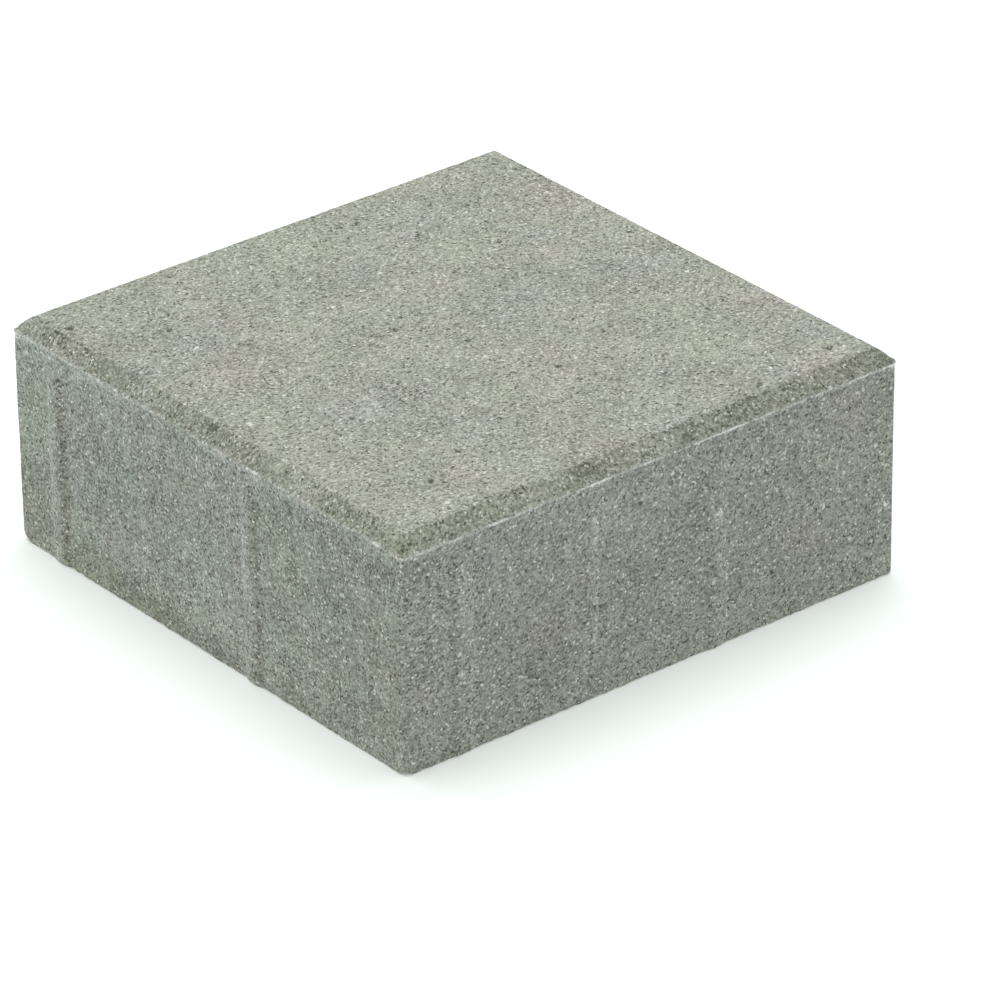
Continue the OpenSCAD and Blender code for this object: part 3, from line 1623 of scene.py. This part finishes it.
# Pores and pale grains of the wear face: x and y, radius, and depth in millimetres or cover
FACE_PORES = (
    (-90, 79, 1.5, 0.8), (-67, 58, 1.2, 0.8), (-44, 88, 1.0, 0.8), (-6, 80, 0.9, 0.7),
    (19, 81, 1.2, 0.7), (24, 79, 0.9, 0.7), (51, 75, 0.9, 0.8), (88, 18, 0.9, 0.7),
    (-40, 35, 0.9, 0.7), (-13, 12, 1.2, 0.8), (0, -8, 0.9, 0.7), (34, -18, 0.9, 0.7),
    (-54, -5, 0.8, 0.7), (-60, -26, 0.9, 0.7), (-35, -17, 0.8, 0.7), (10, -40, 1.1, 0.8),
    (24, -54, 0.9, 0.7), (57, -61, 1.0, 0.7), (-49, -63, 1.1, 0.8), (-67, -73, 1.2, 0.8),
    (-64, -76, 0.9, 0.7), (49, -89, 1.0, 0.8), (82, -85, 1.2, 0.8),
)
FACE_GRAINS = (
    (-86, -9, 1.2, 0.9), (-91, 14, 0.9, 0.8), (-68, 42, 0.9, 0.8), (-26, 38, 0.9, 0.8),
    (-18, 37, 0.9, 0.8), (-4, 40, 0.9, 0.8), (8, 46, 0.9, 0.8), (-12, 57, 0.9, 0.8),
    (36, 78, 0.9, 0.8), (59, -83, 1.0, 0.8), (83, -16, 0.9, 0.8), (-72, -87, 0.9, 0.8),
)


def paving_stone() -> CastStone:
    """The paving stone with its own pores, pale grains, stains and chips.

    Returns:
        The stone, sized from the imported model.
    """
    rib = SpacerRib()
    low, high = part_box(NODE)
    sizes = BlockSizes(half_side=high.x - rib.proud, height=high.z - low.z)
    top = sizes.height / MM
    half = sizes.half_side / MM
    pores = (
        *(Pore((x, y, top), radius * MM, depth * MM) for x, y, radius, depth in FACE_PORES),
        Pore((-96, 76, 78), 1.1 * MM, 0.7 * MM),
        Pore((62, -98, 74), 1.0 * MM, 0.7 * MM),
        Pore((-half + 1.4, -half + 1.2, 76.6), 1.0 * MM, 0.8 * MM),
        Pore((-half + 5.5, -half + 2.2, 77.2), 0.9 * MM, 0.7 * MM),
        Pore((-half, 74, 66), 1.0 * MM, 0.7 * MM),
    )
    pale_grains = (
        *(Pore((x, y, top), radius * MM, cover) for x, y, radius, cover in FACE_GRAINS),
        Pore((94, -half, 26), 1.2 * MM, 1.0),
        Pore((25, -half - 1, 48), 1.2 * MM, 0.8),
        Pore((-half, -96, 74.6), 0.9 * MM, 0.6),
        Pore((-half + 0.4, -half + 0.4, 72), 0.9 * MM, 0.6),
        Pore((-half + 0.4, -half + 0.4, 69.6), 0.8 * MM, 0.6),
        Pore((-94, -half, 74.2), 1.2 * MM, 0.6),
        Pore((-half, 96, 74), 1.9 * MM, 0.6),
    )
    dirt = (
        Stain((-half, 91, 14), (4, 9, 20), 0.34),
        Stain((-half, 45, 4), (4, 34, 9), 0.42),
        Stain((-half, 26, 6), (4, 8, 5), 0.35),
        Stain((-half, -45, 4), (4, 32, 9), 0.30),
        Stain((-half, -62, 44), (4, 22, 16), 0.16),
        Stain((-90, -97, 78), (7, 3, 4), 0.5),
        Stain((-half, -88, 36), (4, 11, 24), 0.42),
        Stain((-68, -half, 13), (24, 4, 15), 0.18),
        Stain((14, -half, 20), (13, 4, 24), 0.14),
        Stain((50, -half, 7), (16, 4, 10), 0.08),
    )
    bloom = (
        Stain((-half, -4, 22), (4, 36, 9), 0.15),
        Stain((-half, 40, 66), (4, 40, 4), 0.04),
        Stain((-60, -half, 55), (22, 4, 18), 0.03),
    )
    streaks = (
        Streak(Side.FRONT, -24 * MM, 14 * MM, 68 * MM, 0.75),
        Streak(Side.LEFT, 77 * MM, 2 * MM, 26 * MM, 0.5),
    )
    plain_smear = Smear(narrow_width=0.52 * MM, narrow_drop=0.2 * MM, narrow_cover=0.7)
    smears = (
        replace(plain_smear, narrow_drop=0.65 * MM, narrow_cover=0.98),
        plain_smear,
        plain_smear,
        replace(plain_smear, narrow_cover=0.60, wide_cover=0.24),
    )
    chips = (
        Chip((-1, 1), 0.0, (3.5 * MM, 4.0 * MM, 4.0 * MM)),
        Chip((-1, -1), 0.0, (4.6 * MM, 4.2 * MM, 2.0 * MM)),
        Chip((1, -1), 0.0, (2.0 * MM, 2.5 * MM, 1.6 * MM)),
        Chip((-1, -1), 76.5 * MM, (1.6 * MM, 2.2 * MM, 2.6 * MM)),
    )
    return CastStone(
        sizes=sizes,
        rib=rib,
        relief=Relief(LatticeNoise(seed=268)),
        pores=pores,
        chips=chips,
        pale_grains=pale_grains,
        dirt=dirt,
        bloom=bloom,
        streaks=streaks,
        smears=smears,
    )


def main() -> None:
    """Builds the stone, dresses it, and sets up the studio."""
    logging.basicConfig(level=logging.INFO, format="%(name)s %(message)s")
    Viewpoint().camera()
    stone = paving_stone().make()
    stone.data.materials.append(ConcreteFinish().material())
    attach(stone, BODY)
    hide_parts(NODE)
    Studio().make()
    log.info("studio: floor, lights and camera")


if __name__ == "__main__":
    main()
